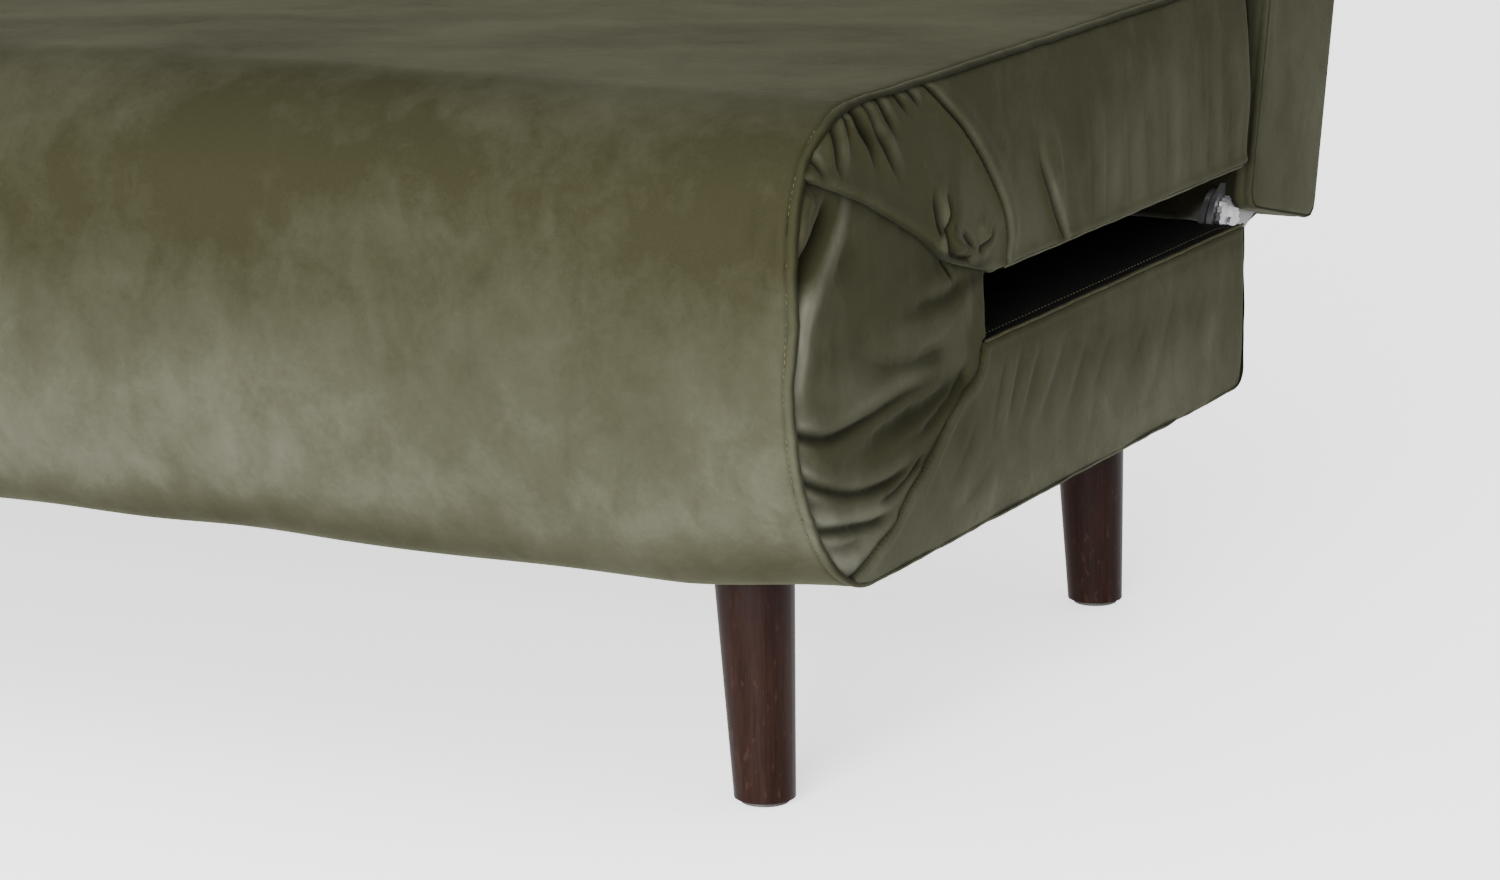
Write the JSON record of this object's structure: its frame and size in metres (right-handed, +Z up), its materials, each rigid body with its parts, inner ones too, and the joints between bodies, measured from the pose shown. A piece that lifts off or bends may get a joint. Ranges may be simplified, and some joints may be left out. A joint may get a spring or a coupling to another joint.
{
  "type": "futon sofa bed",
  "caption": "Velvet futon sofa bed whose folded seat turns forward over front hinges and whose back reclines to make a flat bed, on tapered wooden legs.",
  "frame": {"origin": "on the floor, under the middle of the object's bounding box", "axes": "+X along the width to the sitter's left, +Y to the rear (the front faces -Y), +Z up"},
  "size_m": [1.234, 0.96, 0.8414],
  "materials": {
    "olive_velvet": "matte olive velvet with a soft mottled nap",
    "black_lining": "plain black woven lining",
    "cushion_foam": "open-cell upholstery foam",
    "bent_plywood": "pale bent plywood slats",
    "dark_wood": "dark espresso stained wood, satin lacquer",
    "black_steel": "satin black powder coat",
    "zinc_steel": "zinc plated steel",
    "black_rubber": "black rubber"
  },
  "bodies": {
    "base": {"base_frame_tubes": "black_steel", "base_slats": "bent_plywood", "base_foam": "cushion_foam", "base_cover": "olive_velvet", "base_deck_lining": "black_lining", "base_fold_pad": "cushion_foam", "leg_front_left": "dark_wood", "leg_front_right": "dark_wood", "leg_rear_left": "dark_wood", "leg_rear_right": "dark_wood", "leg_plates": "zinc_steel", "leg_bolts": "zinc_steel", "leg_glides": "black_rubber", "front_hinge_base_leaves": "zinc_steel", "front_hinge_pins": "zinc_steel", "front_hinge_rivets": "zinc_steel", "recline_base_plates": "black_steel", "recline_pivot_bolts": "zinc_steel", "recline_ratchet_discs": "zinc_steel", "seat_rest_brackets": "black_steel", "seat_rest_pads": "black_rubber", "front_gusset_left": "olive_velvet", "front_gusset_right": "olive_velvet"},
    "seat": {"seat_frame_tubes": "black_steel", "seat_slats": "bent_plywood", "seat_foam": "cushion_foam", "seat_sleep_foam": "cushion_foam", "seat_cover": "olive_velvet", "seat_underlining": "black_lining", "seat_fold_pad": "cushion_foam", "front_hinge_seat_leaves": "zinc_steel", "seat_leg_brackets": "black_steel", "seat_leg_pivot_bolts": "zinc_steel"},
    "seat_leg_left": {"seat_leg_left_tube": "black_steel", "seat_leg_left_foot": "black_rubber"},
    "seat_leg_right": {"seat_leg_right_tube": "black_steel", "seat_leg_right_foot": "black_rubber"},
    "back": {"back_frame_tubes": "black_steel", "back_slats": "bent_plywood", "back_foam": "cushion_foam", "back_cover": "olive_velvet", "back_rear_panel": "black_lining", "recline_back_plates": "black_steel", "back_leg_brackets": "black_steel", "back_leg_pins": "zinc_steel"},
    "back_leg": {"back_leg_left_post": "black_steel", "back_leg_right_post": "black_steel", "back_leg_crossbar": "black_steel", "back_leg_feet": "black_rubber"}
  },
  "joints": [
    {"name": "seat_unfold", "type": "hinge", "parent": "base", "child": "seat", "pos_m": [0, -0.47547, 0.286], "axis": [1, 0, 0], "range_deg": [0, 180]},
    {"name": "seat_leg_left_swing", "type": "hinge", "parent": "seat", "child": "seat_leg_left", "pos_m": [0.48, 0.22053, 0.3645], "axis": [0, 1, 0], "range_deg": [0, 90]},
    {"name": "seat_leg_right_swing", "type": "hinge", "parent": "seat", "child": "seat_leg_right", "pos_m": [-0.48, 0.22053, 0.3645], "axis": [0, -1, 0], "range_deg": [0, 90]},
    {"name": "back_recline", "type": "hinge", "parent": "base", "child": "back", "pos_m": [0, 0.21653, 0.262], "axis": [-1, 0, 0], "range_deg": [0, 77]},
    {"name": "back_leg_fold", "type": "hinge", "parent": "back", "child": "back_leg", "pos_m": [0, 0.46797, 0.73763], "axis": [1, 0, 0], "range_deg": [0, 90]}
  ]
}
